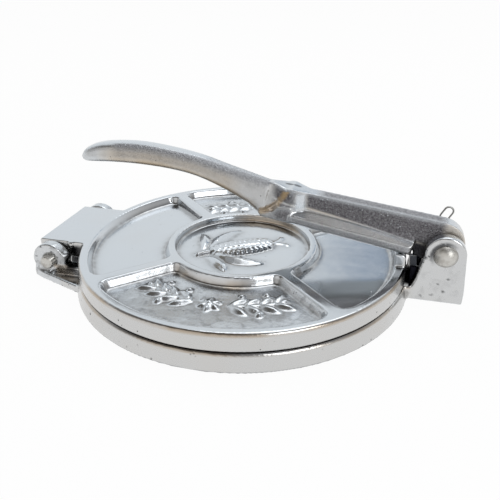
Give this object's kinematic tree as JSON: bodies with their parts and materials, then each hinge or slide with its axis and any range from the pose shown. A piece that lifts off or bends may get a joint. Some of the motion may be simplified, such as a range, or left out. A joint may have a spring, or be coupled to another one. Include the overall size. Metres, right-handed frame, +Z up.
{
  "type": "tortilla press",
  "caption": "Hinged round press for flattening dough balls: base plate, wheel-patterned lid and a lever that bears on the lid's rim.",
  "frame": {"origin": "on the table, under the centre of the two round plates", "axes": "+Z up out of the table; +X from the lid's hinge to the lever's clevis; both pivot pins lie along Y"},
  "size_m": [0.2472, 0.1954, 0.0768],
  "materials": {
    "base_casting": "bright plated casting, satin, lightly pitted",
    "lid_casting": "bright plated casting, polished pockets, satin edge",
    "lever_casting": "bright plated casting, satin grip, rough web",
    "pin_steel": "plain turned",
    "wire_steel": "dull wire"
  },
  "bodies": {
    "base": {"base_plate": "base_casting", "lever_pin": "pin_steel", "cotter_pin": "wire_steel"},
    "lid": {"lid_plate": "lid_casting", "hinge_pin": "pin_steel"},
    "lever": {"lever": "lever_casting"}
  },
  "joints": [
    {"name": "lever_pivot", "type": "hinge", "parent": "base", "child": "lever", "pos_m": [0.1137, 0, 0.0308], "axis": [0, 1, 0], "range_deg": [0, 175]},
    {"name": "lid_hinge", "type": "hinge", "parent": "base", "child": "lid", "pos_m": [-0.1105, 0, 0.01015], "axis": [0, -1, 0], "range_deg": [0, 92]}
  ],
  "couplings": [
    {"joint": "lid_hinge", "follows": "lever_pivot", "ratio": 0.11}
  ]
}
